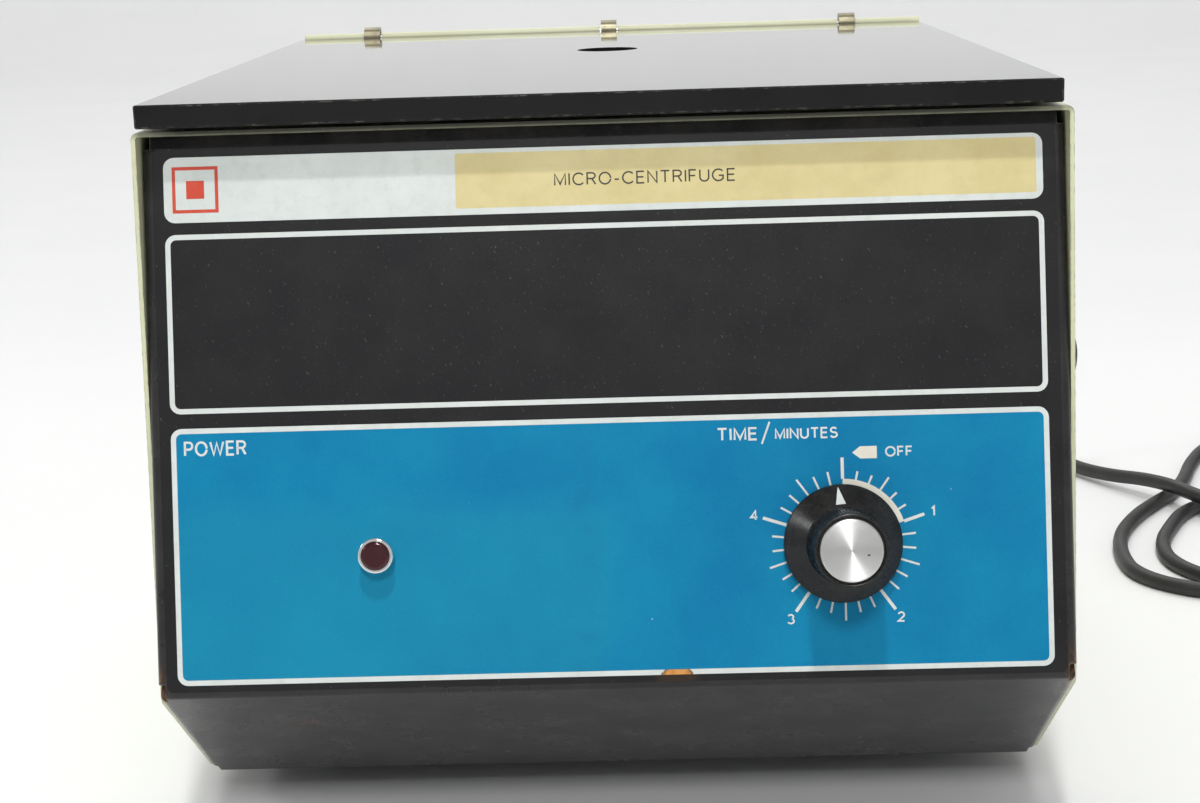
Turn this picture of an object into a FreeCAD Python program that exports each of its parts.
import FreeCAD, Part
import math
import os

# Bench micro-centrifuge: bent-sheet case, flat hinged lid, angle rotor on a vertical motor shaft.
# Millimetres. X to the right, Y to the rear, Z up. The origin is on the table, under the middle
# of the case and what is fixed to it (the mains cord is not counted).

V = FreeCAD.Vector

# ---- driving dimensions: case --------------------------------------------------------------
CASE_WIDTH = 251.6
CASE_BOTTOM = 10.2              # underside of the case, which is also the height of the feet
SHEET = 1.2                     # case sheet metal
BEND = 1.0                      # inside radius of the sheet bends
GAP = 0.3                       # between the cover and the chassis inside it
PANEL_TILT = 12.5               # degrees, top of the front panel leaning back
CHIN_DROP = 23.3                # lowest edge of the front panel, ahead of the lid's front edge
CHIN_Z = 57.2
UNDERCUT_DEPTH = 38.0           # where the undercut meets the base, behind the lid's front edge
TOP_FLANGE_DEPTH = 15.0
SIDE_FLANGE = 13.0
UPSTAND = 16.0
REAR_FLANGE = 13.0
COVER_GAP_UNDER_LID = 1.25
COVER_FRONT_SETBACK = 4.0
COVER_FRONT_TILT = 6.5          # degrees
COVER_TOP_RADIUS = 1.9
COVER_SETBACK = 3.6             # of the cover's lower front edge from the undercut
COVER_SKIRT_GAP = 0.4           # cover's lower edge above the underside of the base
NOTCH_HALF_WIDTH = 9.0          # cut-outs in the cover for the hinge knuckles
OVERLAY_THICKNESS = 0.5
OVERLAY_HALF_WIDTH = 121.5
OVERLAY_LOW, OVERLAY_HIGH = 1.5, 148.6
FOOT_X = 98.0
FOOT_RADIUS, FOOT_TOP_RADIUS = 8.2, 9.5
FOOT_RECESS_RADIUS, FOOT_RECESS = 4.2, 4.5
SLOT_COUNT, SLOT_PITCH, SLOT_WIDTH, SLOT_LENGTH = 7, 9.0, 3.5, 40.0     # under the motor
VENT_COLUMNS, VENT_ROWS = 8, 2
VENT_PITCH = 11.0
VENT_SHIFT = -12.0
VENT_HEIGHT = 42.0
VENT_WIDTH = 3.4
VENT_BOTTOM = 46.0
VENT_ROW_GAP = 10.0
PLATE_X, PLATE_Z = -70.0, 168.0         # data plate on the rear panel
PLATE_WIDTH, PLATE_HEIGHT, PLATE_SHEET = 60.0, 32.0, 0.6

# screws: (shank radius, length, head radius, head height)
FOOT_SCREW = (2.1, 11.0, 3.9, 2.2)
COVER_SCREW = (1.7, 7.0, 3.3, 1.7)
TOP_SCREW = (1.7, 5.0, 2.4, 0.8)
HINGE_SCREW = (1.4, 6.1, 2.5, 1.5)
FOOT_SCREW_RADIUS = FOOT_SCREW[0]
COVER_SCREW_RADIUS = COVER_SCREW[0]
TOP_SCREW_XS = (-84.0, 84.0)
REAR_SCREW_XS = (-100.0, 0.0, 100.0)
REAR_SIDE_SCREW_ZS = (70.0, 175.0)

# ---- driving dimensions: lid and hinge ------------------------------------------------------
LID_WIDTH = 246.0
LID_DEPTH = 285.6
LID_THICKNESS = 6.35
LID_TOP = 215.0
LID_FRONT_Y = -125.2
LID_SHIFT = -0.7                # the lid sits a little to the left on its hinge
LID_CHAMFER = 0.4
SIGHT_HOLE_RADIUS = 10.4
SIGHT_WINDOW_THICKNESS = 3.0
HINGE_BACK = 4.4                # hinge axis behind the lid's back edge
HINGE_RISE = 0.1                # hinge axis above the lid's top face
PIN_RADIUS = 1.0
CURL_RADIUS = 1.8
CURL_HALF_LENGTH = 122.0
KNUCKLE_RADIUS = 4.0
KNUCKLE_WIDTH = 6.2
KNUCKLE_XS = (-95.0, -0.9, 93.3)
STRAP_FOOT = 14.0
STRAP_THICKNESS = 1.6
STRAP_HALF_WIDTH = 7.5
STRAP_SCREW_SHIFTS = (-4.2, 4.2)
BUMPER_X, BUMPER_SETBACK, BUMPER_RADIUS = 114.0, 16.0, 4.5

# ---- driving dimensions: rotor chamber, rotor and motor -------------------------------------
ROTOR_SETBACK = 174.0           # rotor axis behind the lid's front edge
GASKET_WIDTH = 3.0
BOWL_RADIUS = 84.0
BOWL_FLOOR_Z = 142.0
BOWL_FLANGE = 10.0
BOWL_WALL = 1.2
BOWL_HOLE_RADIUS = 18.0
BOWL_SCREWS = 6
BOWL_SCREW_RING = BOWL_RADIUS + 6.6
BOOT_RADIUS, BOOT_WALL = 17.5, 3.0
BOOT_LIP_RADIUS = 22.0
ROTOR_RADIUS = 75.0
ROTOR_Z = 152.0
ROTOR_HEIGHT = 46.0
ROTOR_HUB_RADIUS, ROTOR_HUB_HEIGHT = 13.0, 20.0
TUBE_COUNT = 12
TUBE_ANGLE = 45.0               # degrees from vertical
TUBE_RADIUS = 5.6
TUBE_TIP_RADIUS = 2.4
TUBE_BARREL, TUBE_TIP = 20.0, 18.0
MOUTH_RADIUS = 36.0             # middle of a pocket's mouth, from the rotor axis
MOUTH_HEIGHT = 33.0
NUT_RADIUS, NUT_HEIGHT, NUT_FLUTES = 9.0, 12.0, 24
MOTOR_RADIUS = 44.0
BELL_BORE = 36.5
SHAFT_RADIUS = 4.0
SHAFT_COLLAR = 11.0
SHAFT_THREAD = 14.0
RUNNING_GAP = 0.05
FAN_LOW = 14.0
FAN_RADIUS, FAN_HEIGHT, FAN_BLADES = 38.0, 10.0, 10
PLATE_LIFT = 20.0               # motor plate above the base
PLATE_THICKNESS = 3.0
ISOLATOR_RING = 54.0
ISOLATOR_ANGLES = (90.0, 210.0, 330.0)
ISOLATOR_RADIUS, ISOLATOR_WAIST = 9.0, 6.5
STACK_LIFT, STACK_HEIGHT = 32.0, 38.0
UPPER_BELL_HEIGHT = 23.0
BEARING_OUTER, BEARING_HEIGHT = 11.0, 7.0
BEARING_GROOVE = (7.3, 7.6)     # outside of the inner ring, inside of the outer ring
BOLT_RING = 41.0
BOLT_RADIUS = 2.0
BOLT_HEAD_DEPTH = 4.6           # seats of the bolt heads below the motor's top face
BELL_WINDOW_ANGLES = (45, 135, 225, 315)
BELL_WINDOW_SPREAD = 34.0
POLE_SPREAD = 104.0             # degrees
POLE_NECK_SPREAD = 64.0
POLE_RADII = (27.2, 31.5, 39.0)         # face, back of the shoe, root of the neck
ARMATURE_RADIUS = 26.6
ARMATURE_SLOTS = 12
WINDING_RADIUS, WINDING_HEIGHT = 22.5, 9.0
BRUSH_TURN = 22.0               # degrees round the motor axis
BRUSH_DROP = 14.0               # brushes below the field stack
BRUSH_TUBE_RADIUS = 5.0
BRUSH_HALF_WIDTH, BRUSH_HALF_HEIGHT, BRUSH_LENGTH = 2.5, 3.5, 15.0
COMMUTATOR_RADIUS, COMMUTATOR_HEIGHT, COMMUTATOR_BARS = 12.0, 11.0, 24

# ---- driving dimensions: timer, lamp, switch and supply -------------------------------------
DIAL_X, DIAL_S = 62.0, 37.7     # across, and up the panel from the chin
TIMER_HALF_WIDTH, TIMER_HALF_HEIGHT, TIMER_DEPTH = 27.0, 25.0, 32.0
TIMER_SHAFT_RADIUS = 3.175
BUSHING_RADIUS = 4.76
KNOB_SKIRT_RADIUS = 15.9
KNOB_LOW = OVERLAY_THICKNESS + 1.0
KNOB_TOP = 26.95                # above the panel's face, as KNOB_LOW
KNOB_SOCKET = 6.2
KNOB_FOOT_RADIUS, KNOB_FOOT_HEIGHT = 10.3, 9.2      # where the grip stands on the skirt
KNOB_GRIP_RADIUS = 9.7          # at the top
KNOB_FLUTES, KNOB_FLUTE_RADIUS = 84, 0.3
SHAFT_FLAT = 2.4                # flat on the timer shaft, from its axis
SET_SCREW_RADIUS, SET_SCREW_HEIGHT = 1.5, 12.0
INSERT_RADIUS, INSERT_DEPTH = 8.15, 1.6
INSERT_GROOVE = 0.7             # groove round the insert, its width and depth
LAMP_X, LAMP_S = -63.3, 37.7
LAMP_HOLE_RADIUS = 4.0
LAMP_BORE = 3.1
LAMP_TUBE = 14.0
BEZEL_RADIUS, BEZEL_HEIGHT = 4.76, 5.2
LENS_RADIUS, LENS_SEAT, LENS_HEIGHT = 3.95, 1.2, 6.0
BULB_RADIUS = 2.7
SWITCH_X, SWITCH_SETBACK = 101.0, 34.0
SWITCH_HOLE_RADIUS = 2.2
SWITCH_HALF_LENGTH, SWITCH_HEIGHT = 13.0, 16.0
BRACKET_HALF_LENGTH, BRACKET_HEIGHT, BRACKET_FOOT = 12.0, 18.0, 12.0
PLUNGER_RADIUS = 1.6
BLOCK_X, BLOCK_SETBACK = 96.0, 62.0     # terminal block, behind the rotor axis
BLOCK_HALF_WIDTH, BLOCK_HALF_LENGTH, BLOCK_HEIGHT = 10.0, 18.0, 14.0
TERMINALS = [(x, y) for x in (-5, 5) for y in (-12, 0, 12)]
TERMINAL_FLOOR = 9.0
RELIEF_X, RELIEF_Z = 98.0, 97.5
RELIEF_HOLE_RADIUS = 6.5
RELIEF_GROOVES = (9.0, 13.5, 18.0, 22.5, 27.0)

CORD_RADIUS = 3.0
COIL_CENTRE = (325.0, 297.0)
COIL_RADIUS = 34.0              # to the middle of the turns
CORD_ROUTE = [
    (98, 200, 97.5), (98, 224, 97.5), (110, 255, 98), (137, 279, 96.5), (170, 293, 91),
    (199, 299, 76), (216, 299, 55), (217, 296, 30), (213, 284, 13), (211, 262, 3),
    (220, 239, 3), (234, 213, 3), (246, 184, 3), (266, 163, 3), (287, 144, 3), (295, 118, 3),
    (283, 93, 3), (257, 83, 3), (230, 90, 3), (216, 114, 3), (218, 142, 3), (229, 168, 6),
    (237, 184, 15), (250, 199, 15), (270, 210, 5), (295, 208, 3), (316, 193, 3), (329, 169, 3),
    (331, 140, 3), (322, 112, 3), (302, 90, 3), (275, 77, 3), (245, 74, 3), (217, 81, 3),
    (199, 101, 3), (199, 129, 3), (205, 157, 3), (217, 182, 6), (229, 200, 15), (241, 216, 15),
    (252, 238, 5), (261, 264, 3), (273, 289, 3), (295.6, 314, 3),
]
CORD_TAIL_START = (357.0, 278.5, 9.0)
PLUG_REAR = (352.0, 244.0, 12.0)
PLUG_NECK = 13.0
PLUG_LENGTH = 42.0
PLUG_HALF_WIDTH, PLUG_TOP = 12.5, 12.0
PLUG_GRIPS = (20.0, 24.5, 29.0)
BLADE_SPACING, BLADE_LENGTH = 12.7, 17.5
EARTH_PIN_RADIUS, EARTH_PIN_LENGTH = 2.4, 20.0

# ---- worked out from the above ------------------------------------------------------------
TILT = math.radians(PANEL_TILT)
CHIN_Y = LID_FRONT_Y - CHIN_DROP
UNDERCUT_Y = LID_FRONT_Y + UNDERCUT_DEPTH
COVER_FRONT_Y = LID_FRONT_Y + COVER_FRONT_SETBACK
ROTOR_Y = LID_FRONT_Y + ROTOR_SETBACK
LID_UNDER = LID_TOP - LID_THICKNESS
LID_BACK = LID_FRONT_Y + LID_DEPTH
COVER_TOP = LID_UNDER - COVER_GAP_UNDER_LID
COVER_UNDER = COVER_TOP - SHEET
CHASSIS_WIDTH = CASE_WIDTH - 2 * (SHEET + GAP)
PANEL_TOP_S = (COVER_UNDER - CHIN_Z) / math.cos(TILT)
PANEL_BACK = -SHEET                         # back face of the front panel, out from its face
SHAFT_END = KNOB_TOP - 3.0
HINGE_Y = LID_BACK + HINGE_BACK
HINGE_Z = LID_TOP + HINGE_RISE
REAR_OUT = HINGE_Y + CURL_RADIUS            # outer face of the rear panel
REAR_IN = REAR_OUT - SHEET
BASE_TOP = CASE_BOTTOM + SHEET
FOOT_YS = (UNDERCUT_Y + 36.0, REAR_IN - 26.0)
TOP_SCREW_Y = CHIN_Y + PANEL_TOP_S * math.sin(TILT) + 9.0
REAR_SCREW_Z = CASE_BOTTOM + 9.0
SIDE_SCREW_Z = CASE_BOTTOM + 9.5
SIDE_SCREW_YS = (UNDERCUT_Y + 30.0, UNDERCUT_Y + 125.0, REAR_IN - 22.0)
STRAP_SCREW_Y = LID_BACK - STRAP_FOOT / 2
PLATE_LOW = BASE_TOP + PLATE_LIFT
BELL_LOW = PLATE_LOW + PLATE_THICKNESS
STACK_LOW = BELL_LOW + STACK_LIFT
STACK_HIGH = STACK_LOW + STACK_HEIGHT
MOTOR_TOP = STACK_HIGH + UPPER_BELL_HEIGHT
LOWER_BEARING_Z = BELL_LOW + 4.0
UPPER_BEARING_Z = MOTOR_TOP - 4.0 - BEARING_HEIGHT
BRUSH_Z = STACK_LOW - BRUSH_DROP
SWITCH_Y = LID_FRONT_Y + SWITCH_SETBACK
SWITCH_TOP = COVER_UNDER - 3.0
BLOCK_Y = ROTOR_Y + BLOCK_SETBACK
UP = V(0, 0, 1)


# ---- helpers ------------------------------------------------------------------------------
def block(x0, x1, y0, y1, z0, z1):
    return Part.makeBox(x1 - x0, y1 - y0, z1 - z0, V(x0, y0, z0))


def disc(radius, z0, z1, x=0.0, y=0.0):
    return Part.makeCylinder(radius, z1 - z0, V(x, y, z0), UP)


def ring(outer, inner, z0, z1, x=0.0, y=0.0):
    return disc(outer, z0, z1, x, y).cut(disc(inner, z0, z1, x, y))


def across(radius, x0, x1, y, z):
    """A round bar along X."""
    return Part.makeCylinder(radius, x1 - x0, V(x0, y, z), V(1, 0, 0))


def rounded_edges(points, radii):
    """Edges of a closed outline with each corner rounded by its own radius."""
    count = len(points)
    starts = []
    ends = []
    arcs = []
    for i in range(count):
        before, here, after = points[i - 1], points[i], points[(i + 1) % count]
        back, on = (before - here).normalize(), (after - here).normalize()
        half = back.getAngle(on) / 2
        if radii[i] <= 0:
            starts.append(here)
            ends.append(here)
            arcs.append(None)
            continue
        reach = radii[i] / math.tan(half)
        middle = (back + on).normalize()
        centre = here + middle * (radii[i] / math.sin(half))
        starts.append(here + back * reach)
        ends.append(here + on * reach)
        arcs.append(centre - middle * radii[i])
    edges = []
    for i in range(count):
        if arcs[i]:
            edges.append(Part.Arc(starts[i], arcs[i], ends[i]).toShape())
        following = starts[(i + 1) % count]
        if ends[i].distanceToPoint(following) > 1e-6:
            edges.append(Part.LineSegment(ends[i], following).toShape())
    return edges


def side_prism(points, radii, x0, x1):
    """An outline in the Y-Z plane, stretched from x0 to x1."""
    outline = [V(x0, y, z) for y, z in points]
    face = Part.Face(Part.Wire(rounded_edges(outline, radii)))
    return face.extrude(V(x1 - x0, 0, 0))


def turned(profile, radii=None, x=0.0, y=0.0, z=0.0):
    """A round piece from its half outline of (radius, height) points."""
    outline = [V(r, 0, h) for r, h in profile]
    face = Part.Face(Part.Wire(rounded_edges(outline, radii or [0] * len(outline))))
    solid = face.revolve(V(0, 0, 0), UP, 360)
    solid.translate(V(x, y, z))
    return solid


def inset(points, distance):
    """The same open line of (y, z) points, moved to its left by a distance."""
    moved = []
    for i, (y, z) in enumerate(points):
        normals = []
        if i > 0:
            dy, dz = y - points[i - 1][0], z - points[i - 1][1]
            normals.append((-dz / math.hypot(dy, dz), dy / math.hypot(dy, dz)))
        if i < len(points) - 1:
            dy, dz = points[i + 1][0] - y, points[i + 1][1] - z
            normals.append((-dz / math.hypot(dy, dz), dy / math.hypot(dy, dz)))
        ny = sum(n[0] for n in normals)
        nz = sum(n[1] for n in normals)
        scale = distance * len(normals) / (ny * ny + nz * nz)
        moved.append((y + ny * scale, z + nz * scale))
    return moved


def bent_sheet(points, x0, x1):
    """Sheet metal bent along an open line, its thickness on the line's left."""
    inner = inset(points, SHEET)
    bends = len(points) - 2
    radii = [0] + [BEND + SHEET] * bends + [0, 0] + [BEND] * bends + [0]
    return side_prism(points + inner[::-1], radii, x0, x1)


def fused(shapes):
    return shapes[0].multiFuse(shapes[1:]).removeSplitter()


def group(shapes):
    return Part.makeCompound(shapes)


def panel_yz(s, out=0.0):
    """The (y, z) of a point s up the front panel from the chin and out from its face."""
    return (CHIN_Y + s * math.sin(TILT) - out * math.cos(TILT),
            CHIN_Z + s * math.cos(TILT) + out * math.sin(TILT))


def on_panel(shape, x, s):
    """Moves a shape made with +Z pointing out of the panel onto its face."""
    y, z = panel_yz(s)
    placed = shape.copy()
    turn = FreeCAD.Rotation(V(1, 0, 0), 90 - PANEL_TILT)
    placed.Placement = FreeCAD.Placement(V(x, y, z), turn).multiply(shape.Placement)
    return placed


def hexagon(across_flats, z0, z1):
    radius = across_flats / math.sqrt(3)
    corners = [V(radius * math.cos(math.radians(60 * i)), radius * math.sin(math.radians(60 * i)), z0)
               for i in range(7)]
    return Part.Face(Part.makePolygon(corners)).extrude(V(0, 0, z1 - z0))


def pan_screw(shank, length, head, height):
    """A pan-head screw, its seat at z = 0, the head above and the shank below."""
    cap = turned([(0, 0), (head, 0), (head, height), (0, height)], [0, 0, height * 0.6, 0])
    body = disc(shank, -length, 0)
    slot = block(-head, head, -0.35, 0.35, height * 0.5, height + 1)
    return cap.cut(slot).fuse(body).removeSplitter()


def aim(shape, place, direction):
    """Places a shape made along +Z so that it points along a direction."""
    placed = shape.copy()
    placed.Placement = FreeCAD.Placement(V(*place), FreeCAD.Rotation(UP, V(*direction)))
    return placed


def around_axis(shape, degrees, y=ROTOR_Y):
    turned_shape = shape.copy()
    turned_shape.rotate(V(0, y, 0), UP, degrees)
    return turned_shape


def sector(outer, inner, z0, z1, middle, spread):
    """Part of a ring about the motor axis, spread degrees wide."""
    start = FreeCAD.Rotation(UP, middle - spread / 2)
    pieces = []
    for radius in (outer, inner):
        piece = Part.makeCylinder(radius, z1 - z0, V(0, 0, 0), UP, spread)
        piece.Placement = FreeCAD.Placement(V(0, ROTOR_Y, z0), start)
        pieces.append(piece)
    return pieces[0].cut(pieces[1])


# ---- case ---------------------------------------------------------------------------------
def chassis_line():
    top_y, top_z = panel_yz(PANEL_TOP_S)
    return [(top_y + TOP_FLANGE_DEPTH, top_z), (top_y, top_z), (CHIN_Y, CHIN_Z),
            (UNDERCUT_Y, CASE_BOTTOM), (REAR_IN, CASE_BOTTOM), (REAR_IN, CASE_BOTTOM + UPSTAND)]


def channel(start, end, trim_start, trim_end, depth):
    """One face of the chassis with a flange bent inwards down each side, between two (y, z) points."""
    half = CHASSIS_WIDTH / 2
    along = V(0, end[0] - start[0], end[1] - start[1])
    length = along.Length
    along.normalize()
    inward = V(0, -along.z, along.y)
    origin = V(0, *start) + along * trim_start
    section = [(-half, depth), (-half, 0), (half, 0), (half, depth), (half - SHEET, depth),
               (half - SHEET, SHEET), (-half + SHEET, SHEET), (-half + SHEET, depth)]
    outline = [origin + V(x, 0, 0) + inward * reach for x, reach in section]
    radii = [0, BEND + SHEET, BEND + SHEET, 0, 0, BEND, BEND, 0]
    face = Part.Face(Part.Wire(rounded_edges(outline, radii)))
    return face.extrude(along * (length - trim_start - trim_end))


def chassis():
    """Front panel, undercut and base, bent from one sheet, with flanges down both sides."""
    line = chassis_line()
    narrow = CHASSIS_WIDTH / 2 - BEND - SHEET
    shapes = [bent_sheet(line, -narrow, narrow),
              channel(line[1], line[2], 4, 3.5, SIDE_FLANGE),
              channel(line[2], line[3], 3.5, 5, SIDE_FLANGE),
              channel(line[3], line[4], 5, 4, UPSTAND)]
    body = fused(shapes)
    cuts = [on_panel(disc(LAMP_HOLE_RADIUS, -5, 5), LAMP_X, LAMP_S),
            on_panel(disc(BUSHING_RADIUS, -5, 5), DIAL_X, DIAL_S)]
    for i in range(SLOT_COUNT):                  # cooling slots under the motor
        x = (i - (SLOT_COUNT - 1) / 2) * SLOT_PITCH
        cuts.append(block(x - SLOT_WIDTH / 2, x + SLOT_WIDTH / 2, ROTOR_Y - SLOT_LENGTH / 2,
                          ROTOR_Y + SLOT_LENGTH / 2, CASE_BOTTOM - 1, BASE_TOP + 1))
    for x, y in foot_places() + isolator_places():
        cuts.append(disc(FOOT_SCREW_RADIUS, CASE_BOTTOM - 1, BASE_TOP + 1, x, y))
    for place, direction in side_screw_places("base"):
        cuts.append(aim(disc(COVER_SCREW_RADIUS, -8, 2), place, direction))
    for x in TOP_SCREW_XS:
        cuts.append(disc(COVER_SCREW_RADIUS, COVER_UNDER - 5, COVER_TOP + 1, x, TOP_SCREW_Y))
    for x in REAR_SCREW_XS:
        cuts.append(aim(disc(COVER_SCREW_RADIUS, -8, 2), (x, REAR_IN, REAR_SCREW_Z), (0, 1, 0)))
    return body.cut(group(cuts))


def foot_places():
    return [(x, y) for y in FOOT_YS for x in (-FOOT_X, FOOT_X)]


def isolator_places():
    places = []
    for degrees in ISOLATOR_ANGLES:
        turn = math.radians(degrees)
        places.append((ISOLATOR_RING * math.cos(turn), ROTOR_Y + ISOLATOR_RING * math.sin(turn)))
    return places


def side_screw_places(which):
    """Seats of the cover's side screws in the base flanges or in the rear panel's flanges."""
    places = []
    for side in (-1, 1):
        x = side * CASE_WIDTH / 2
        if which == "base":
            places += [((x, y, SIDE_SCREW_Z), (side, 0, 0)) for y in SIDE_SCREW_YS]
        else:
            places += [((x, REAR_IN - 7.0, z), (side, 0, 0)) for z in REAR_SIDE_SCREW_ZS]
    return places


def cover():
    """Wrap-round cover: two sides and a top with the rotor chamber's opening."""
    half = CASE_WIDTH / 2
    drop = COVER_TOP - CASE_BOTTOM
    slope = math.tan(math.radians(COVER_FRONT_TILT))
    outer = Part.makeBox(CASE_WIDTH, REAR_IN - CHIN_Y + 20, drop, V(-half, CHIN_Y - 20, CASE_BOTTOM))
    top_edges = [e for e in outer.Edges
                 if abs(e.Vertexes[0].Z - COVER_TOP) < 0.01 and abs(e.Vertexes[-1].Z - COVER_TOP) < 0.01
                 and abs(e.Vertexes[0].X - e.Vertexes[-1].X) < 0.01]
    outer = outer.makeFillet(COVER_TOP_RADIUS, top_edges)
    inside_half = half - SHEET
    inner = Part.makeBox(2 * inside_half, REAR_IN - CHIN_Y + 60, drop,
                         V(-inside_half, CHIN_Y - 40, CASE_BOTTOM - SHEET))
    top_edges = [e for e in inner.Edges
                 if abs(e.Vertexes[0].Z - COVER_UNDER) < 0.01 and abs(e.Vertexes[-1].Z - COVER_UNDER) < 0.01
                 and abs(e.Vertexes[0].X - e.Vertexes[-1].X) < 0.01]
    inner = inner.makeFillet(COVER_TOP_RADIUS - SHEET, top_edges)
    undercut_slope = (CASE_BOTTOM - CHIN_Z) / (UNDERCUT_Y - CHIN_Y)
    bottom_front = (COVER_FRONT_Y - (COVER_TOP - CASE_BOTTOM) * slope, CASE_BOTTOM)
    # where the raked front edge meets a line set back from the undercut
    lift = (bottom_front[0] - CHIN_Y - COVER_SETBACK) * undercut_slope + CHIN_Z - CASE_BOTTOM
    corner_z = CASE_BOTTOM + lift / (1 - undercut_slope * slope)
    corner_y = bottom_front[0] + (corner_z - CASE_BOTTOM) * slope
    skirt = CASE_BOTTOM + COVER_SKIRT_GAP
    silhouette = [(COVER_FRONT_Y, COVER_TOP), (corner_y, corner_z), (UNDERCUT_Y + COVER_SETBACK, skirt),
                  (REAR_IN, skirt), (REAR_IN, COVER_TOP)]
    trim = side_prism(silhouette, [0, 4, 3, 0, 0], -half - 1, half + 1)
    cuts = [disc(BOWL_RADIUS, COVER_UNDER - 1, COVER_TOP + 1, 0, ROTOR_Y),
            disc(SWITCH_HOLE_RADIUS, COVER_UNDER - 1, COVER_TOP + 1, SWITCH_X, SWITCH_Y)]
    for x in KNUCKLE_XS:
        cuts.append(block(x - NOTCH_HALF_WIDTH, x + NOTCH_HALF_WIDTH, LID_BACK - STRAP_FOOT - 2,
                          REAR_OUT, COVER_UNDER - 1, COVER_TOP + 1))
    for place, direction in side_screw_places("base") + side_screw_places("rear"):
        cuts.append(aim(disc(COVER_SCREW_RADIUS, -8, 2), place, direction))
    for x in TOP_SCREW_XS:
        cuts.append(disc(COVER_SCREW_RADIUS, COVER_UNDER - 5, COVER_TOP + 1, x, TOP_SCREW_Y))
    for x, y in bowl_screw_places():
        cuts.append(disc(COVER_SCREW_RADIUS, COVER_UNDER - 5, COVER_TOP + 1, x, y))
    return outer.cut(inner).common(trim).cut(group(cuts))


def rear_panel():
    """Back of the case, with its upper edge curled round the hinge pin and flanges forward."""
    half = CASE_WIDTH / 2
    panel = block(-half, half, REAR_IN, REAR_OUT, CASE_BOTTOM, COVER_TOP)
    corners = [e for e in panel.Edges if e.BoundBox.YLength > SHEET / 2 and e.BoundBox.ZMin > COVER_TOP - 1]
    shapes = [panel.makeFillet(COVER_TOP_RADIUS, corners),
              block(-CURL_HALF_LENGTH, CURL_HALF_LENGTH, REAR_IN, REAR_OUT, COVER_TOP - 1, HINGE_Z),
              across(CURL_RADIUS, -CURL_HALF_LENGTH, CURL_HALF_LENGTH, HINGE_Y, HINGE_Z)]
    flange_x = half - SHEET - GAP
    for x0, x1 in ((-flange_x, -flange_x + SHEET), (flange_x - SHEET, flange_x)):
        shapes.append(block(x0, x1, REAR_IN - REAR_FLANGE, REAR_IN + SHEET / 2,
                            CASE_BOTTOM + UPSTAND + 4, COVER_UNDER - 6))
    body = fused(shapes)
    cuts = [across(PIN_RADIUS, -CASE_WIDTH, CASE_WIDTH, HINGE_Y, HINGE_Z)]
    for x in KNUCKLE_XS:
        reach = KNUCKLE_WIDTH / 2 + 0.4
        cuts.append(block(x - reach, x + reach, HINGE_Y - 5, HINGE_Y + 5,
                          HINGE_Z - KNUCKLE_RADIUS - 0.5, HINGE_Z + 5))
    for row in range(VENT_ROWS):
        for column in range(VENT_COLUMNS):
            x = (column - (VENT_COLUMNS - 1) / 2) * VENT_PITCH + VENT_SHIFT
            z = VENT_BOTTOM + row * (VENT_HEIGHT + VENT_ROW_GAP)
            cuts.append(block(x - VENT_WIDTH / 2, x + VENT_WIDTH / 2, REAR_IN - 1, REAR_OUT + 1,
                              z, z + VENT_HEIGHT))
    cuts.append(aim(disc(RELIEF_HOLE_RADIUS, -6, 6), (RELIEF_X, REAR_OUT, RELIEF_Z), (0, 1, 0)))
    for x in REAR_SCREW_XS:
        cuts.append(aim(disc(COVER_SCREW_RADIUS, -6, 2), (x, REAR_OUT, REAR_SCREW_Z), (0, 1, 0)))
    for place, direction in side_screw_places("rear"):
        cuts.append(aim(disc(COVER_SCREW_RADIUS, -8, 2), place, direction))
    return body.cut(group(cuts))


def rating_plate():
    """Blank data plate on the rear panel."""
    half, rise = PLATE_WIDTH / 2, PLATE_HEIGHT / 2
    return block(PLATE_X - half, PLATE_X + half, REAR_OUT, REAR_OUT + PLATE_SHEET,
                 PLATE_Z - rise, PLATE_Z + rise)


def front_overlay():
    """Printed label sheet stuck to the front panel."""
    low, high, side = OVERLAY_LOW, OVERLAY_HIGH, OVERLAY_HALF_WIDTH
    outline = [V(-side, low - DIAL_S, 0), V(side, low - DIAL_S, 0),
               V(side, high - DIAL_S, 0), V(-side, high - DIAL_S, 0)]
    face = Part.Face(Part.Wire(rounded_edges(outline, [2.0] * 4)))
    sheet = face.extrude(V(0, 0, OVERLAY_THICKNESS))
    holes = [disc(BUSHING_RADIUS, -1, 2, DIAL_X, 0),
             disc(LAMP_HOLE_RADIUS, -1, 2, LAMP_X, LAMP_S - DIAL_S)]
    return on_panel(sheet.cut(group(holes)), 0, DIAL_S)


def foot(x, y):
    """Rubber foot with a recess for its screw."""
    profile = [(0, 0), (FOOT_RADIUS, 0), (FOOT_TOP_RADIUS, CASE_BOTTOM), (0, CASE_BOTTOM)]
    body = turned(profile, [0, 1.5, 0, 0], x, y)
    recess = disc(FOOT_RECESS_RADIUS, -1, FOOT_RECESS, x, y)
    return body.cut(recess).cut(disc(FOOT_SCREW_RADIUS, 0, CASE_BOTTOM + 1, x, y))


def foot_screws():
    screws = []
    for x, y in foot_places():
        screws.append(aim(pan_screw(*FOOT_SCREW), (x, y, FOOT_RECESS), (0, 0, -1)))
    return group(screws)


def cover_screws():
    screws = []
    for place, direction in side_screw_places("base") + side_screw_places("rear"):
        screws.append(aim(pan_screw(*COVER_SCREW), place, direction))
    for x in REAR_SCREW_XS:
        screws.append(aim(pan_screw(*COVER_SCREW), (x, REAR_OUT, REAR_SCREW_Z), (0, 1, 0)))
    return group(screws)


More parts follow.
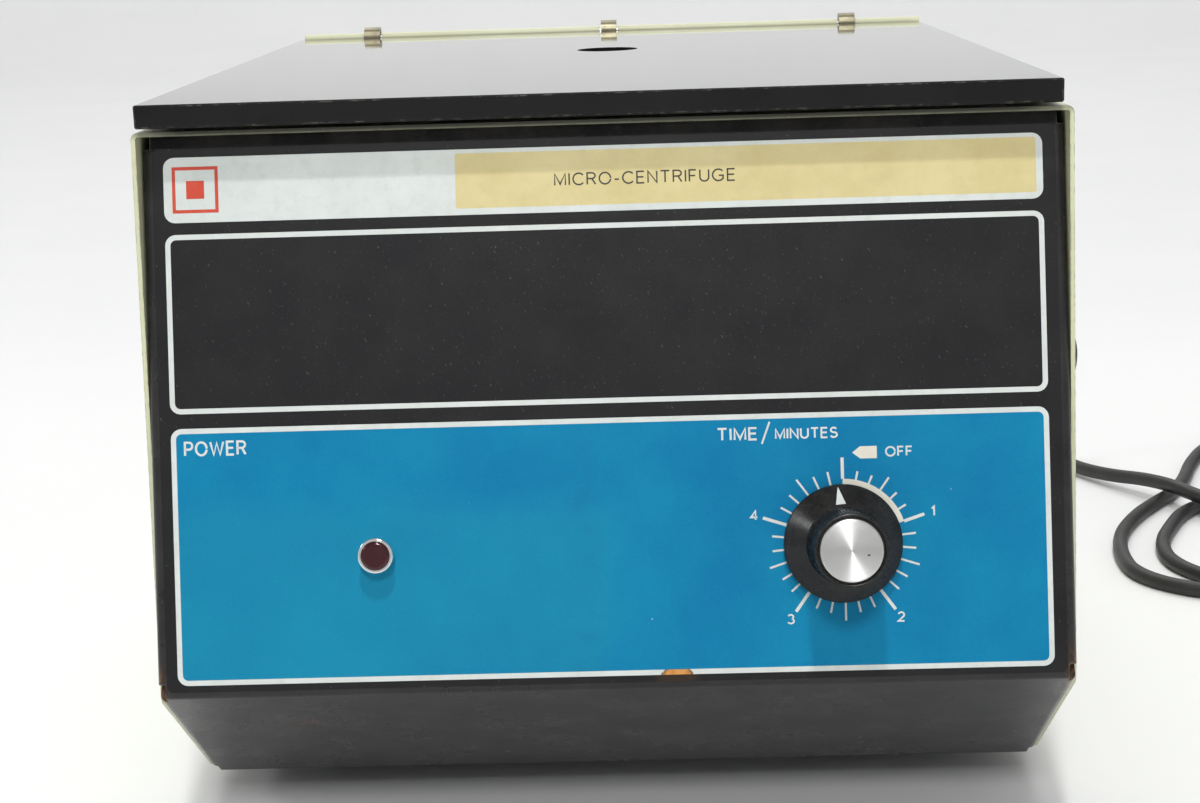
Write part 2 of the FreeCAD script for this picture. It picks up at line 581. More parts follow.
def top_screws():
    """Low-head screws under the lid, through the cover into the chassis and the bowl flange."""
    screws = []
    places = [(x, TOP_SCREW_Y) for x in TOP_SCREW_XS] + bowl_screw_places()
    for x, y in places:
        screws.append(aim(pan_screw(*TOP_SCREW), (x, y, COVER_TOP), (0, 0, 1)))
    return group(screws)


# ---- lid and hinge ------------------------------------------------------------------------
def lid():
    """Flat opaque sheet with a sight hole over the rotor."""
    half = LID_WIDTH / 2
    sheet = block(LID_SHIFT - half, LID_SHIFT + half, LID_FRONT_Y, LID_BACK, LID_UNDER, LID_TOP)
    sheet = sheet.makeChamfer(LID_CHAMFER, sheet.Edges)
    cuts = [disc(SIGHT_HOLE_RADIUS, LID_UNDER - 1, LID_TOP + 1, 0, ROTOR_Y)]
    for x in KNUCKLE_XS:
        for shift in STRAP_SCREW_SHIFTS:
            cuts.append(disc(HINGE_SCREW[0], LID_UNDER - 1, LID_UNDER + 4.5, x + shift, STRAP_SCREW_Y))
    return sheet.cut(group(cuts))


def sight_window():
    """Clear disc that closes the sight hole, flush with the underside of the lid."""
    return disc(SIGHT_HOLE_RADIUS, LID_UNDER, LID_UNDER + SIGHT_WINDOW_THICKNESS, 0, ROTOR_Y)


def hinge_strap(x):
    """Knuckle round the pin, with a foot that turns under the lid."""
    back = LID_BACK
    low = LID_UNDER - STRAP_THICKNESS
    half = KNUCKLE_WIDTH / 2
    shapes = [across(KNUCKLE_RADIUS, x - half, x + half, HINGE_Y, HINGE_Z),
              block(x - half, x + half, back, back + STRAP_THICKNESS, low, HINGE_Z),
              block(x - STRAP_HALF_WIDTH, x + STRAP_HALF_WIDTH, back - STRAP_FOOT, back + STRAP_THICKNESS,
                    low, LID_UNDER)]
    body = fused(shapes).cut(across(PIN_RADIUS + RUNNING_GAP, x - 9, x + 9, HINGE_Y, HINGE_Z))
    holes = [disc(HINGE_SCREW[0], low - 1, LID_UNDER + 1, x + shift, STRAP_SCREW_Y)
             for shift in STRAP_SCREW_SHIFTS]
    return body.cut(group(holes))


def hinge_screws():
    screws = []
    for x in KNUCKLE_XS:
        for shift in STRAP_SCREW_SHIFTS:
            place = (x + shift, STRAP_SCREW_Y, LID_UNDER - STRAP_THICKNESS)
            screws.append(aim(pan_screw(*HINGE_SCREW), place, (0, 0, -1)))
    return group(screws)


def hinge_pin():
    return across(PIN_RADIUS, -CURL_HALF_LENGTH, CURL_HALF_LENGTH, HINGE_Y, HINGE_Z)


def lid_bumpers():
    """Two rubber buttons on the cover that carry the lid's front corners."""
    height = COVER_GAP_UNDER_LID - 0.05
    y = LID_FRONT_Y + BUMPER_SETBACK
    profile = [(0, 0), (BUMPER_RADIUS, 0), (BUMPER_RADIUS, height), (0, height)]
    return group([turned(profile, [0, 0, 0.5, 0], x, y, COVER_TOP) for x in (-BUMPER_X, BUMPER_X)])


def chamber_gasket():
    height = COVER_GAP_UNDER_LID - 0.15
    inner = BOWL_RADIUS + 0.5
    profile = [(inner, 0), (inner + GASKET_WIDTH, 0), (inner + GASKET_WIDTH, height), (inner, height)]
    return turned(profile, [0, 0, 0.4, 0.4], 0, ROTOR_Y, COVER_TOP)


# ---- rotor chamber and rotor --------------------------------------------------------------
def bowl_screw_places():
    places = []
    for i in range(BOWL_SCREWS):
        turn = math.radians(30 + 360 / BOWL_SCREWS * i)
        places.append((BOWL_SCREW_RING * math.cos(turn), ROTOR_Y + BOWL_SCREW_RING * math.sin(turn)))
    return places


def chamber_bowl():
    """Spun bowl hung by its flange from the underside of the cover's top."""
    top = COVER_UNDER
    under, outside, rim = BOWL_FLOOR_Z - BOWL_WALL, BOWL_RADIUS + BOWL_WALL, BOWL_RADIUS + BOWL_FLANGE
    corner = 10.0                               # inside radius between the floor and the wall
    profile = [(BOWL_HOLE_RADIUS, under), (outside, under), (outside, top - BOWL_WALL),
               (rim, top - BOWL_WALL), (rim, top), (BOWL_RADIUS, top), (BOWL_RADIUS, BOWL_FLOOR_Z),
               (BOWL_HOLE_RADIUS, BOWL_FLOOR_Z)]
    bowl = turned(profile, [0, corner + BOWL_WALL, 0, 0, 0, 1.0, corner, 0], 0, ROTOR_Y)
    holes = [disc(COVER_SCREW_RADIUS, top - 5, top + 1, x, y) for x, y in bowl_screw_places()]
    return bowl.cut(group(holes))


def chamber_boot():
    """Rubber boot between the motor and the bowl's centre hole."""
    floor, lip, inner = BOWL_FLOOR_Z, BOOT_LIP_RADIUS, BOOT_RADIUS - BOOT_WALL
    profile = [(inner, MOTOR_TOP), (BOOT_RADIUS, MOTOR_TOP), (BOOT_RADIUS, floor - 4.0), (lip, floor - 4.0),
               (lip, floor - BOWL_WALL), (BOWL_HOLE_RADIUS, floor - BOWL_WALL), (BOWL_HOLE_RADIUS, floor),
               (lip, floor), (lip, floor + 1.6), (inner, floor + 1.6)]
    return turned(profile, [0, 0, 1, 0, 0, 0, 0, 0, 0.8, 0.8], 0, ROTOR_Y)


def tube_pocket(index):
    """Space for one sample tube: a straight barrel with a tapered tip, 45 degrees out."""
    mouth = 12.0                                # how far the cut runs on past the rotor's face
    barrel = disc(TUBE_RADIUS, -TUBE_BARREL, mouth)
    tip = Part.makeCone(TUBE_TIP_RADIUS, TUBE_RADIUS, TUBE_TIP, V(0, 0, -TUBE_BARREL - TUBE_TIP), UP)
    rim = disc(TUBE_RADIUS + 1.2, 0, mouth)
    tilt = FreeCAD.Rotation(V(0, 1, 0), -TUBE_ANGLE)
    pocket = barrel.fuse(tip).fuse(rim)
    pocket.Placement = FreeCAD.Placement(V(MOUTH_RADIUS, ROTOR_Y, ROTOR_Z + MOUTH_HEIGHT), tilt)
    return around_axis(pocket, 360 / TUBE_COUNT * index)


def rotor():
    """Angle rotor: a dished top with twelve tube pockets, hollowed underneath."""
    profile = [(SHAFT_RADIUS, 0), (18, 0), (22, 8), (46, 8), (52, 0), (ROTOR_RADIUS - 2, 0),
               (ROTOR_RADIUS, 2), (ROTOR_RADIUS, 24), (54, ROTOR_HEIGHT), (49, ROTOR_HEIGHT),
               (20, 17), (ROTOR_HUB_RADIUS, 17), (ROTOR_HUB_RADIUS, ROTOR_HUB_HEIGHT),
               (SHAFT_RADIUS, ROTOR_HUB_HEIGHT)]
    radii = [0, 1, 1, 2, 2, 0, 0, 4, 1.5, 1.5, 2, 0.5, 0.5, 0]
    body = turned(profile, radii, 0, ROTOR_Y, ROTOR_Z)
    return body.cut(group([tube_pocket(i) for i in range(TUBE_COUNT)]))


def rotor_nut():
    """Knurled thumb nut that holds the rotor on the shaft."""
    base, bore = ROTOR_Z + ROTOR_HUB_HEIGHT, SHAFT_RADIUS - 1
    profile = [(bore, 0), (NUT_RADIUS, 0), (NUT_RADIUS, NUT_HEIGHT - 2), (6.5, NUT_HEIGHT),
               (bore, NUT_HEIGHT)]
    body = turned(profile, [0, 0.5, 0.8, 0.5, 0], 0, ROTOR_Y, base)
    flutes = []
    for i in range(NUT_FLUTES):
        flute = disc(0.55, base + 1, base + NUT_HEIGHT - 3, NUT_RADIUS + 0.1, ROTOR_Y)
        flutes.append(around_axis(flute, 360 / NUT_FLUTES * i))
    return body.cut(group(flutes))


# ---- motor --------------------------------------------------------------------------------
def motor_shaft():
    """Ground shaft with a collar under the rotor and a threaded end for the nut."""
    hub_top, thread = ROTOR_Z + ROTOR_HUB_HEIGHT, SHAFT_RADIUS - 1
    profile = [(0, FAN_LOW), (SHAFT_RADIUS, FAN_LOW), (SHAFT_RADIUS, ROTOR_Z - 9),
               (SHAFT_COLLAR, ROTOR_Z - 7), (SHAFT_COLLAR, ROTOR_Z), (SHAFT_RADIUS, ROTOR_Z),
               (SHAFT_RADIUS, hub_top), (thread, hub_top), (thread, hub_top + SHAFT_THREAD),
               (0, hub_top + SHAFT_THREAD)]
    return turned(profile, None, 0, ROTOR_Y)


def bearing_rings(inner, outer):
    """The same ring in both bearings."""
    return group([ring(outer, inner, z, z + BEARING_HEIGHT, 0, ROTOR_Y)
                  for z in (LOWER_BEARING_Z, UPPER_BEARING_Z)])


def bolt_cuts():
    return group([disc(BOLT_RADIUS, BELL_LOW - 9, MOTOR_TOP + 9, *place) for place in bolt_places()])


def bolt_places():
    places = []
    for degrees in (0, 90, 180, 270):
        turn = math.radians(degrees)
        places.append((BOLT_RING * math.cos(turn), ROTOR_Y + BOLT_RING * math.sin(turn)))
    return places


def lower_bell():
    """Lower end of the motor housing: bearing seat, air windows and two brush openings."""
    low, high = BELL_LOW, STACK_LOW
    seat_top = LOWER_BEARING_Z + BEARING_HEIGHT
    profile = [(6, low), (MOTOR_RADIUS, low), (MOTOR_RADIUS, high), (BELL_BORE, high), (BELL_BORE, low + 3.5),
               (15, low + 3.5), (15, seat_top), (BEARING_OUTER, seat_top),
               (BEARING_OUTER, LOWER_BEARING_Z), (6, LOWER_BEARING_Z)]
    body = turned(profile, [0, 3, 0, 0, 1, 1, 0, 0, 0, 0], 0, ROTOR_Y)
    cuts = [bolt_cuts()]
    for degrees in BELL_WINDOW_ANGLES:
        cuts.append(sector(MOTOR_RADIUS + 3, 30, low + 8, high - 8, degrees, BELL_WINDOW_SPREAD))
    for side in (0, 180):
        hole = across(BRUSH_TUBE_RADIUS, 25, 55, ROTOR_Y, BRUSH_Z)
        cuts.append(around_axis(hole, side + BRUSH_TURN))
    return body.cut(group(cuts))


def upper_bell():
    """Upper end of the motor housing, with the other bearing seat and the bolt seats."""
    low, high = STACK_HIGH, MOTOR_TOP
    profile = [(BELL_BORE, low), (MOTOR_RADIUS, low), (MOTOR_RADIUS, high - 5), (24, high), (6, high),
               (6, high - 4), (BEARING_OUTER, high - 4), (BEARING_OUTER, UPPER_BEARING_Z),
               (15, UPPER_BEARING_Z), (15, high - 4), (24, high - 4), (BELL_BORE, high - 8)]
    body = turned(profile, [0, 0, 2, 2, 0, 0, 0, 0, 0, 1, 1, 1], 0, ROTOR_Y)
    windows = [sector(MOTOR_RADIUS + 3, 30, low + 4, high - 9, degrees, BELL_WINDOW_SPREAD)
               for degrees in BELL_WINDOW_ANGLES]
    seats = [disc(4.4, high - BOLT_HEAD_DEPTH, high, *place) for place in bolt_places()]
    return body.cut(group(windows + seats + [bolt_cuts()]))


def field_stack():
    """Laminated field ring with two pole shoes."""
    low, high = STACK_LOW, STACK_HIGH
    face, back, root = POLE_RADII
    shapes = [ring(MOTOR_RADIUS, root - 1, low, high, 0, ROTOR_Y)]
    for middle in (90, 270):
        shapes.append(sector(root, back - 0.5, low, high, middle, POLE_NECK_SPREAD))
        shapes.append(sector(back, face, low, high, middle, POLE_SPREAD))
    return fused(shapes).cut(bolt_cuts())


def field_coil(middle):
    """One field winding, a closed loop round the neck of its pole."""
    back, root = POLE_RADII[1:]
    outer = sector(BELL_BORE - 0.3, back + 0.3, STACK_LOW - 7, STACK_HIGH + 7, middle, POLE_SPREAD - 8)
    window = sector(root, back - 0.5, STACK_LOW - 0.3, STACK_HIGH + 0.3, middle, POLE_NECK_SPREAD + 1)
    return outer.cut(window)


def armature():
    """Slotted armature core."""
    body = ring(ARMATURE_RADIUS, SHAFT_RADIUS, STACK_LOW + 1, STACK_HIGH - 1, 0, ROTOR_Y)
    slots = []
    for i in range(ARMATURE_SLOTS):
        slot = block(ARMATURE_RADIUS - 8, ARMATURE_RADIUS + 1, ROTOR_Y - 1.4, ROTOR_Y + 1.4,
                     STACK_LOW, STACK_HIGH)
        slots.append(around_axis(slot, 360 / ARMATURE_SLOTS * i))
    return body.cut(group(slots))


def armature_winding():
    """End turns of the armature winding, above and below the core."""
    ends = []
    inner, outer = SHAFT_RADIUS + 3, WINDING_RADIUS
    for z0 in (STACK_LOW + 1 - WINDING_HEIGHT, STACK_HIGH - 1):
        z1 = z0 + WINDING_HEIGHT
        profile = [(inner, z0), (outer, z0), (outer, z1), (inner, z1)]
        soft = [1, 5, 0, 0] if z0 < STACK_LOW else [0, 0, 5, 1]
        ends.append(turned(profile, soft, 0, ROTOR_Y))
    return group(ends)


def commutator():
    low, high = BRUSH_Z - COMMUTATOR_HEIGHT / 2, BRUSH_Z + COMMUTATOR_HEIGHT / 2
    body = ring(COMMUTATOR_RADIUS, SHAFT_RADIUS, low, high, 0, ROTOR_Y)
    slits = []
    for i in range(COMMUTATOR_BARS):
        slit = block(COMMUTATOR_RADIUS - 1, COMMUTATOR_RADIUS + 1, ROTOR_Y - 0.25, ROTOR_Y + 0.25,
                     low - 1, high + 1)
        slits.append(around_axis(slit, 360 / COMMUTATOR_BARS * i))
    return body.cut(group(slits))


def cooling_fan():
    """Flat fan on the lower end of the shaft."""
    top = FAN_LOW + FAN_HEIGHT
    hub, web = 9.0, 1.5
    shapes = [ring(hub, SHAFT_RADIUS, FAN_LOW, top, 0, ROTOR_Y),
              ring(FAN_RADIUS, hub - 0.5, top - web, top, 0, ROTOR_Y)]
    for i in range(FAN_BLADES):
        blade = block(hub - 1, FAN_RADIUS, ROTOR_Y - 0.7, ROTOR_Y + 0.7, FAN_LOW, top - web / 2)
        shapes.append(around_axis(blade, 360 / FAN_BLADES * i))
    return fused(shapes)


def brush_piece(make):
    """The same piece on both sides of the commutator."""
    return group([around_axis(make(), side + BRUSH_TURN) for side in (0, 180)])


def brush_tube():
    """Insulating tube that guides one brush."""
    body = across(BRUSH_TUBE_RADIUS, 20, 47, ROTOR_Y, BRUSH_Z)
    side, rise = BRUSH_HALF_WIDTH + 0.1, BRUSH_HALF_HEIGHT + 0.1
    return body.cut(block(19, 48, ROTOR_Y - side, ROTOR_Y + side, BRUSH_Z - rise, BRUSH_Z + rise))


def brush():
    """Carbon brush, just clear of the commutator."""
    face = COMMUTATOR_RADIUS + 0.3
    return block(face, face + BRUSH_LENGTH, ROTOR_Y - BRUSH_HALF_WIDTH, ROTOR_Y + BRUSH_HALF_WIDTH,
                 BRUSH_Z - BRUSH_HALF_HEIGHT, BRUSH_Z + BRUSH_HALF_HEIGHT)


def brush_cap():
    """Slotted cap on the outer end of a brush tube."""
    body = across(BRUSH_TUBE_RADIUS + 1.2, 47, 51, ROTOR_Y, BRUSH_Z)
    return body.cut(block(50, 52, ROTOR_Y - 5, ROTOR_Y + 5, BRUSH_Z - 0.6, BRUSH_Z + 0.6))


def motor_plate():
    """Steel plate that carries the motor on its three rubber mounts."""
    low, high = PLATE_LOW, BELL_LOW
    body = disc(ISOLATOR_RING + 9, low, high, 0, ROTOR_Y)
    cuts = [disc(12, low - 1, high + 1, 0, ROTOR_Y)]
    for x, y in isolator_places():
        cuts.append(disc(FOOT_SCREW_RADIUS, low - 1, high + 1, x, y))
    for degrees in (30, 150, 270):
        cuts.append(sector(36, 18, low - 1, high + 1, degrees, 60))
    return body.cut(group(cuts)).cut(bolt_cuts())


def through_bolts():
    """Four long bolts that clamp both motor bells, the field and the plate."""
    bolts = []
    for x, y in bolt_places():
        head = hexagon(7.0, 0, 2.6)
        head.translate(V(x, y, MOTOR_TOP - BOLT_HEAD_DEPTH))
        shank = disc(BOLT_RADIUS, PLATE_LOW - 4, MOTOR_TOP - BOLT_HEAD_DEPTH + 1, x, y)
        nut = hexagon(7.0, 0, 3.0)
        nut.translate(V(x, y, PLATE_LOW - 3))
        bolts.append(fused([head, shank, nut]))
    return group(bolts)


def isolators():
    """Three rubber bobbins under the motor plate."""
    mounts = []
    for x, y in isolator_places():
        wide, waist = ISOLATOR_RADIUS, ISOLATOR_WAIST
        profile = [(FOOT_SCREW_RADIUS, BASE_TOP), (wide, BASE_TOP), (wide, BASE_TOP + 4),
                   (waist, BASE_TOP + 8), (waist, PLATE_LOW - 8), (wide, PLATE_LOW - 4),
                   (wide, PLATE_LOW), (FOOT_SCREW_RADIUS, PLATE_LOW)]
        mounts.append(turned(profile, [0, 0, 1, 2, 2, 1, 0, 0], x, y))
    return group(mounts)


def isolator_bolts():
    bolts = []
    for x, y in isolator_places():
        shank = disc(FOOT_SCREW_RADIUS, CASE_BOTTOM - 2, BELL_LOW + 4, x, y)
        head = disc(4.4, CASE_BOTTOM - 2.2, CASE_BOTTOM, x, y)
        nut = hexagon(8.0, 0, 3.4)
        nut.translate(V(x, y, BELL_LOW))
        bolts.append(fused([shank, head, nut]))
    return group(bolts)


# ---- timer, knob and lamp -----------------------------------------------------------------
def timer_body():
    """Clockwork timer case with its threaded bushing through the panel."""
    case = block(-TIMER_HALF_WIDTH, TIMER_HALF_WIDTH, -TIMER_HALF_HEIGHT, TIMER_HALF_HEIGHT,
                 PANEL_BACK - TIMER_DEPTH, PANEL_BACK)
    case = case.makeFillet(2.0, [e for e in case.Edges if e.Length < TIMER_DEPTH + 1])
    bushing = disc(BUSHING_RADIUS, PANEL_BACK - 1, OVERLAY_THICKNESS + 4.5)
    body = case.fuse(bushing).cut(disc(TIMER_SHAFT_RADIUS + RUNNING_GAP, -12, 10))
    return on_panel(body, DIAL_X, DIAL_S)


def timer_nut():
    low = OVERLAY_THICKNESS
    body = hexagon(14.0, low, low + 2.4).cut(disc(BUSHING_RADIUS, -1, 9))
    return on_panel(body, DIAL_X, DIAL_S)


def timer_shaft():
    """Spindle of the timer, with a flat for the knob."""
    body = disc(TIMER_SHAFT_RADIUS, -11, SHAFT_END)
    body = body.cut(block(-4, 4, SHAFT_FLAT, 4, KNOB_SOCKET, SHAFT_END))
    return on_panel(body, DIAL_X, DIAL_S)


def knob_flute():
    """A bar along the slope of the grip, sunk half into it."""
    slope = V(KNOB_GRIP_RADIUS - KNOB_FOOT_RADIUS, 0, KNOB_TOP - KNOB_FOOT_HEIGHT)
    start = V(KNOB_FOOT_RADIUS, 0, KNOB_FOOT_HEIGHT) + slope * 0.07
    return Part.makeCylinder(KNOB_FLUTE_RADIUS, slope.Length * 1.2, start, slope)


def knob_body():
    """Moulded knob: wide skirt, knurled grip, and a recess with a groove for the metal insert."""
    seat, groove = KNOB_TOP - INSERT_DEPTH, KNOB_TOP - INSERT_GROOVE
    lip = INSERT_RADIUS + INSERT_GROOVE
    profile = [(TIMER_SHAFT_RADIUS, KNOB_SOCKET), (9.5, KNOB_SOCKET), (9.5, KNOB_LOW),
               (KNOB_SKIRT_RADIUS, KNOB_LOW), (KNOB_SKIRT_RADIUS, KNOB_LOW + 2.0),
               (KNOB_FOOT_RADIUS, KNOB_FOOT_HEIGHT), (KNOB_GRIP_RADIUS, KNOB_TOP), (lip, KNOB_TOP),
               (lip - 0.3, groove), (INSERT_RADIUS, groove), (INSERT_RADIUS, seat),
               (TIMER_SHAFT_RADIUS, seat)]
    radii = [0, 0, 0, 0.4, 0.8, 0.5, 0.6, 0.3, 0, 0, 0, 0]
    body = turned(profile, radii)
    flutes = []
    for i in range(KNOB_FLUTES):
        flutes.append(around_axis(knob_flute(), 360 / KNOB_FLUTES * i, 0))
    flat = block(-4, 4, SHAFT_FLAT, 4, KNOB_SOCKET, SHAFT_END)
    flat = flat.common(disc(TIMER_SHAFT_RADIUS, KNOB_SOCKET, SHAFT_END))
    body = body.cut(group(flutes)).fuse(flat).cut(set_screw_bar(10))
    return on_panel(body, DIAL_X, DIAL_S)


def set_screw_bar(length):
    """A bar the size of the set screw, from the shaft's flat outwards."""
    return Part.makeCylinder(SET_SCREW_RADIUS, length, V(0, SHAFT_FLAT, SET_SCREW_HEIGHT), V(0, 1, 0))


def set_screw():
    return on_panel(set_screw_bar(6.5), DIAL_X, DIAL_S)


def knob_insert():
    """Spun aluminium disc in the face of the knob."""
    seat = KNOB_TOP - INSERT_DEPTH
    profile = [(0, seat), (INSERT_RADIUS, seat), (INSERT_RADIUS, KNOB_TOP - 0.2),
               (INSERT_RADIUS - 0.8, KNOB_TOP + 0.3), (0, KNOB_TOP + 0.3)]
    return on_panel(turned(profile), DIAL_X, DIAL_S)


def lamp_bezel():
    """Chrome bezel, open tube through the panel."""
    low = OVERLAY_THICKNESS
    top, seat = low + BEZEL_HEIGHT, low + LENS_SEAT
    profile = [(LAMP_BORE, -LAMP_TUBE), (LAMP_HOLE_RADIUS, -LAMP_TUBE), (LAMP_HOLE_RADIUS, low),
               (BEZEL_RADIUS, low), (BEZEL_RADIUS, top), (LENS_RADIUS, top), (LENS_RADIUS, seat),
               (LAMP_BORE, seat)]
    return on_panel(turned(profile, [0, 0, 0, 0, 0.4, 0, 0, 0]), LAMP_X, LAMP_S)


def lamp_lens():
    low, top = OVERLAY_THICKNESS + LENS_SEAT, OVERLAY_THICKNESS + LENS_HEIGHT
    profile = [(0, low), (LENS_RADIUS, low), (LENS_RADIUS, top), (0, top)]
    return on_panel(turned(profile, [0, 0, 0.9, 0]), LAMP_X, LAMP_S)


def neon_bulb():
    low, top = 4.0 - LAMP_TUBE, OVERLAY_THICKNESS + 0.9
    profile = [(0, low), (BULB_RADIUS, low), (BULB_RADIUS, top), (0, top)]
    return on_panel(turned(profile, [0, 0.5, 2.0, 0]), LAMP_X, LAMP_S)


def lamp_nut():
    body = hexagon(11.0, PANEL_BACK - 2.5, PANEL_BACK).cut(disc(LAMP_HOLE_RADIUS, -9, 2))
    return on_panel(body, LAMP_X, LAMP_S)


# ---- lid switch ---------------------------------------------------------------------------
def switch_bracket():
    """Small angle bracket on the inside of the cover that carries the switch."""
    back = SWITCH_Y + 5.5
    low, high = SWITCH_X - BRACKET_HALF_LENGTH, SWITCH_X + BRACKET_HALF_LENGTH
    shapes = [block(low, high, back, back + SHEET, SWITCH_TOP - BRACKET_HEIGHT, COVER_UNDER),
              block(low, high, back, back + BRACKET_FOOT, COVER_UNDER - SHEET, COVER_UNDER)]
    return fused(shapes)


def lid_switch():
    """Snap switch that the lid holds closed through its plunger."""
    body = block(SWITCH_X - SWITCH_HALF_LENGTH, SWITCH_X + SWITCH_HALF_LENGTH, SWITCH_Y - 5, SWITCH_Y + 5.5,
                 SWITCH_TOP - SWITCH_HEIGHT, SWITCH_TOP)
    return body.cut(disc(PLUNGER_RADIUS + 0.3, SWITCH_TOP - 7, SWITCH_TOP + 1, SWITCH_X, SWITCH_Y))


def switch_plunger():
    low, high = SWITCH_TOP - 4.0, LID_UNDER - 0.05
    profile = [(0, low), (PLUNGER_RADIUS, low), (PLUNGER_RADIUS, high), (0, high)]
    return turned(profile, [0, 0, 0.8, 0], SWITCH_X, SWITCH_Y)


# ---- supply -------------------------------------------------------------------------------
def terminal_block():
    """Three-way terminal block on the base."""
    body = block(BLOCK_X - BLOCK_HALF_WIDTH, BLOCK_X + BLOCK_HALF_WIDTH, BLOCK_Y - BLOCK_HALF_LENGTH,
                 BLOCK_Y + BLOCK_HALF_LENGTH, BASE_TOP, BASE_TOP + BLOCK_HEIGHT)
    pits = [disc(2.8, BASE_TOP + TERMINAL_FLOOR, BASE_TOP + BLOCK_HEIGHT + 1, BLOCK_X + x, BLOCK_Y + y)
            for x, y in TERMINALS]
    return body.cut(group(pits))


def terminal_screws():
    low = BASE_TOP + TERMINAL_FLOOR
    return group([disc(2.5, low, low + 3, BLOCK_X + x, BLOCK_Y + y) for x, y in TERMINALS])


def route_wire(points, report=None):
    """A path of straight runs joined by tangent arcs, each as large as its two runs allow."""
    nodes = [V(*p) for p in points]
    edges, radii, here = [], [], nodes[0]
    for i in range(1, len(nodes) - 1):
        back, on = nodes[i - 1] - nodes[i], nodes[i + 1] - nodes[i]
        shorter = min(back.Length, on.Length)
        half_turn = (math.pi - back.getAngle(on)) / 2
        reach = 0.45 * shorter
        radius = reach / math.tan(half_turn)
        radii.append(radius)
        back.normalize()
        on.normalize()
        start, end = nodes[i] + back * reach, nodes[i] + on * reach
        middle = (back + on).normalize()
        centre_away = radius / math.cos(half_turn)
        edges.append(Part.LineSegment(here, start).toShape())
        edges.append(Part.Arc(start, nodes[i] + middle * (centre_away - radius), end).toShape())
        here = end
    edges.append(Part.LineSegment(here, nodes[-1]).toShape())
    if report:
        runs = [nodes[i].distanceToPoint(nodes[i + 1]) for i in range(len(nodes) - 1)]
        print(report, "smallest radius %.1f, runs %.1f to %.1f" % (min(radii), min(runs), max(runs)))
        for i, radius in enumerate(radii):
            if radius < 5 * 2 * CORD_RADIUS:
                print(report, "tight at point", i + 1, "radius %.1f" % radius)
    return Part.Wire(edges)


def route_tube(points, radius, report=None):
    wire = route_wire(points, report)
    start = V(*points[0])
    along = V(*points[1]) - start
    section = Part.Wire(Part.makeCircle(radius, start, along))
    tube = wire.makePipeShell([section], True, True)
    if report:
        ideal = math.pi * radius * radius * wire.Length
        print(report, "length %.1f, volume against section times length %.4f"
              % (wire.Length, tube.Volume / ideal))
    return tube


def strain_relief():
    """Moulded sleeve that tapers along the cord, with rings cut into it for bending."""
    start = REAR_OUT
    length = CORD_ROUTE[0][1] - start
    profile = [(0, -4.5), (7.4, -4.5), (7.4, -SHEET), (RELIEF_HOLE_RADIUS, -SHEET), (RELIEF_HOLE_RADIUS, 0),
               (8.4, 0), (8.4, 3), (6.4, 4.5), (3.9, length), (0, length)]
    body = turned(profile, [0, 0.8, 0, 0, 0, 0, 1.0, 1.0, 0.4, 0])
    grooves = [ring(9, 4.6 - 0.035 * z, z, z + 1.3) for z in RELIEF_GROOVES]
    return aim(body.cut(group(grooves)), (RELIEF_X, start, RELIEF_Z), (0, 1, 0))


def cord_lead():
    return route_tube(CORD_ROUTE, CORD_RADIUS, "cord")


def cord_coil():
    """Outer shape of the wound part of the cord, two turns wide and two high."""
    inner, outer, top = COIL_RADIUS - 2 * CORD_RADIUS, COIL_RADIUS + 2 * CORD_RADIUS, 4 * CORD_RADIUS
    profile = [(inner, 0), (outer, 0), (outer, top), (inner, top)]
    return turned(profile, [CORD_RADIUS * 0.9] * 4, *COIL_CENTRE)


def cord_tail():
    start, end = V(*CORD_TAIL_START), V(*PLUG_REAR)
    return Part.makeCylinder(CORD_RADIUS, start.distanceToPoint(end), start, end - start)


def plug_direction():
    along = V(*PLUG_REAR) - V(*CORD_TAIL_START)
    along.z = 0
    return along.normalize()


def at_plug(shape):
    """Places a shape made along +X from the plug's cord end."""
    placed = shape.copy()
    turn = FreeCAD.Rotation(V(1, 0, 0), plug_direction())
    placed.Placement = FreeCAD.Placement(V(*PLUG_REAR), turn)
    return placed


def plug_body():
    """Moulded three-pin plug, wide face down."""
    low = -PLUG_REAR[2]
    side = PLUG_HALF_WIDTH
    shell = block(PLUG_NECK, PLUG_LENGTH, -side, side, low, PLUG_TOP)
    shell = shell.makeFillet(5.0, [e for e in shell.Edges if abs(e.Vertexes[0].Y - e.Vertexes[-1].Y) < 0.01
                                   and abs(e.Vertexes[0].Z - e.Vertexes[-1].Z) < 0.01])
    neck = Part.makeCone(4.2, 8.5, PLUG_NECK + 3, V(0, 0, 0), V(1, 0, 0))
    grips = []
    for x in PLUG_GRIPS:
        grips += [block(x, x + 2, side - 0.9, side + 1, -8, 8), block(x, x + 2, -side - 1, 0.9 - side, -8, 8)]
    return at_plug(shell.fuse(neck).removeSplitter().cut(group(grips)))


def plug_blades():
    """Two flat blades and a round earth pin."""
    end = PLUG_LENGTH
    blades = [block(end, end + BLADE_LENGTH, y - 0.75, y + 0.75, -5.2, 1.1)
              for y in (-BLADE_SPACING / 2, BLADE_SPACING / 2)]
    pin = across(EARTH_PIN_RADIUS, end, end + EARTH_PIN_LENGTH, 0, 6.5)
    return at_plug(group(blades + [pin]))


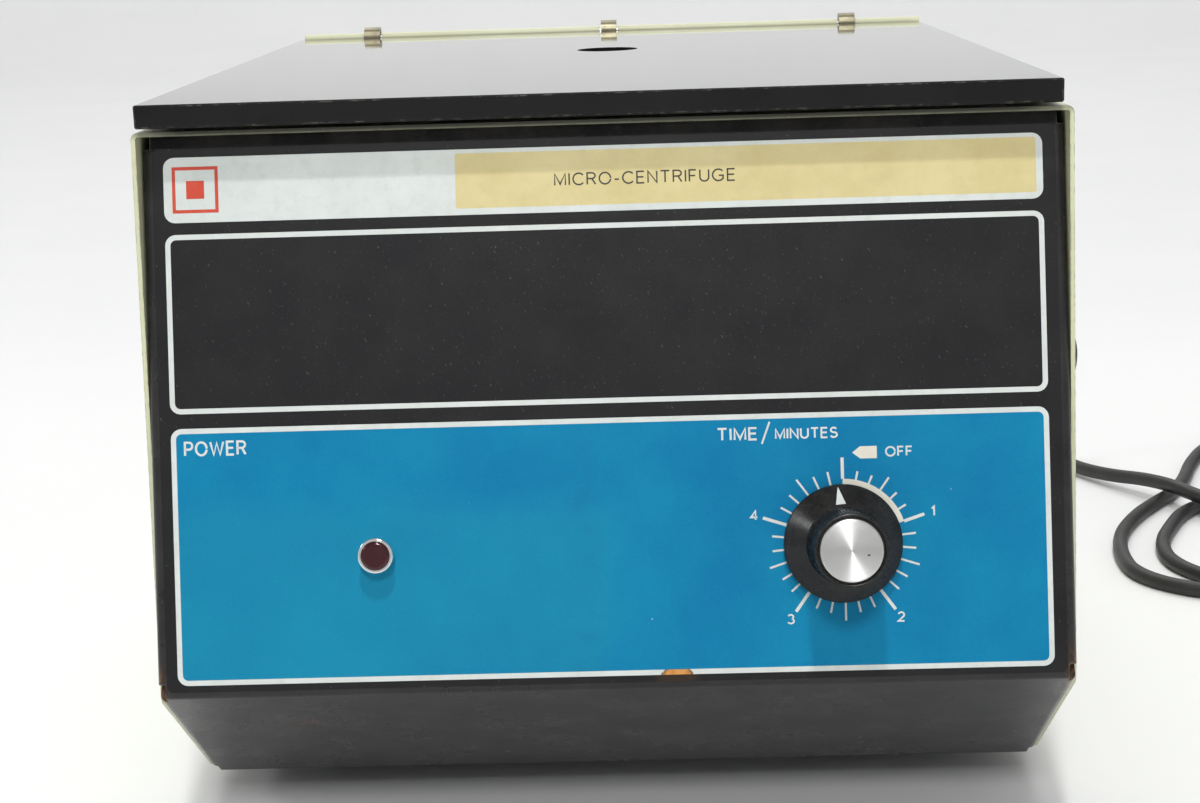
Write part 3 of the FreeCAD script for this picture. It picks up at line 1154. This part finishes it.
# ---- write the parts ----------------------------------------------------------------------
def parts():
    return {
        "chassis": chassis(),
        "cover": cover(),
        "rear_panel": rear_panel(),
        "rating_plate": rating_plate(),
        "front_overlay": front_overlay(),
        "feet": group([foot(*place) for place in foot_places()]),
        "foot_screws": foot_screws(),
        "cover_screws": cover_screws(),
        "top_screws": top_screws(),
        "lid": lid(),
        "sight_window": sight_window(),
        "hinge_straps": group([hinge_strap(x) for x in KNUCKLE_XS]),
        "hinge_screws": hinge_screws(),
        "hinge_pin": hinge_pin(),
        "lid_bumpers": lid_bumpers(),
        "chamber_gasket": chamber_gasket(),
        "chamber_bowl": chamber_bowl(),
        "chamber_boot": chamber_boot(),
        "rotor": rotor(),
        "rotor_nut": rotor_nut(),
        "motor_shaft": motor_shaft(),
        "bearing_outer_rings": bearing_rings(BEARING_GROOVE[1], BEARING_OUTER),
        "bearing_inner_rings": bearing_rings(SHAFT_RADIUS, BEARING_GROOVE[0]),
        "motor_lower_bell": lower_bell(),
        "motor_upper_bell": upper_bell(),
        "field_stack": field_stack(),
        "field_coils": group([field_coil(90), field_coil(270)]),
        "armature_core": armature(),
        "armature_winding": armature_winding(),
        "commutator": commutator(),
        "cooling_fan": cooling_fan(),
        "brush_tubes": brush_piece(brush_tube),
        "brushes": brush_piece(brush),
        "brush_caps": brush_piece(brush_cap),
        "motor_plate": motor_plate(),
        "motor_through_bolts": through_bolts(),
        "motor_isolators": isolators(),
        "isolator_bolts": isolator_bolts(),
        "timer_body": timer_body(),
        "timer_nut": timer_nut(),
        "timer_shaft": timer_shaft(),
        "knob_body": knob_body(),
        "knob_set_screw": set_screw(),
        "knob_insert": knob_insert(),
        "lamp_bezel": lamp_bezel(),
        "lamp_lens": lamp_lens(),
        "neon_bulb": neon_bulb(),
        "lamp_nut": lamp_nut(),
        "switch_bracket": switch_bracket(),
        "lid_switch": lid_switch(),
        "switch_plunger": switch_plunger(),
        "terminal_block": terminal_block(),
        "terminal_screws": terminal_screws(),
        "strain_relief": strain_relief(),
        "cord_lead": cord_lead(),
        "cord_coil": cord_coil(),
        "cord_tail": cord_tail(),
        "plug_body": plug_body(),
        "plug_blades": plug_blades(),
    }


os.makedirs("parts", exist_ok=True)
CORD_PARTS = ("strain_relief", "cord_lead", "cord_coil", "cord_tail", "plug_body", "plug_blades")
whole = FreeCAD.BoundBox()
for node, shape in parts().items():
    shape.exportStep("parts/" + node + ".step")
    if node not in CORD_PARTS:
        whole.add(shape.BoundBox)
    if not shape.isValid():
        print("not valid:", node)
print("without the cord: x %.2f %.2f  y %.2f %.2f  z %.2f %.2f"
      % (whole.XMin, whole.XMax, whole.YMin, whole.YMax, whole.ZMin, whole.ZMax))
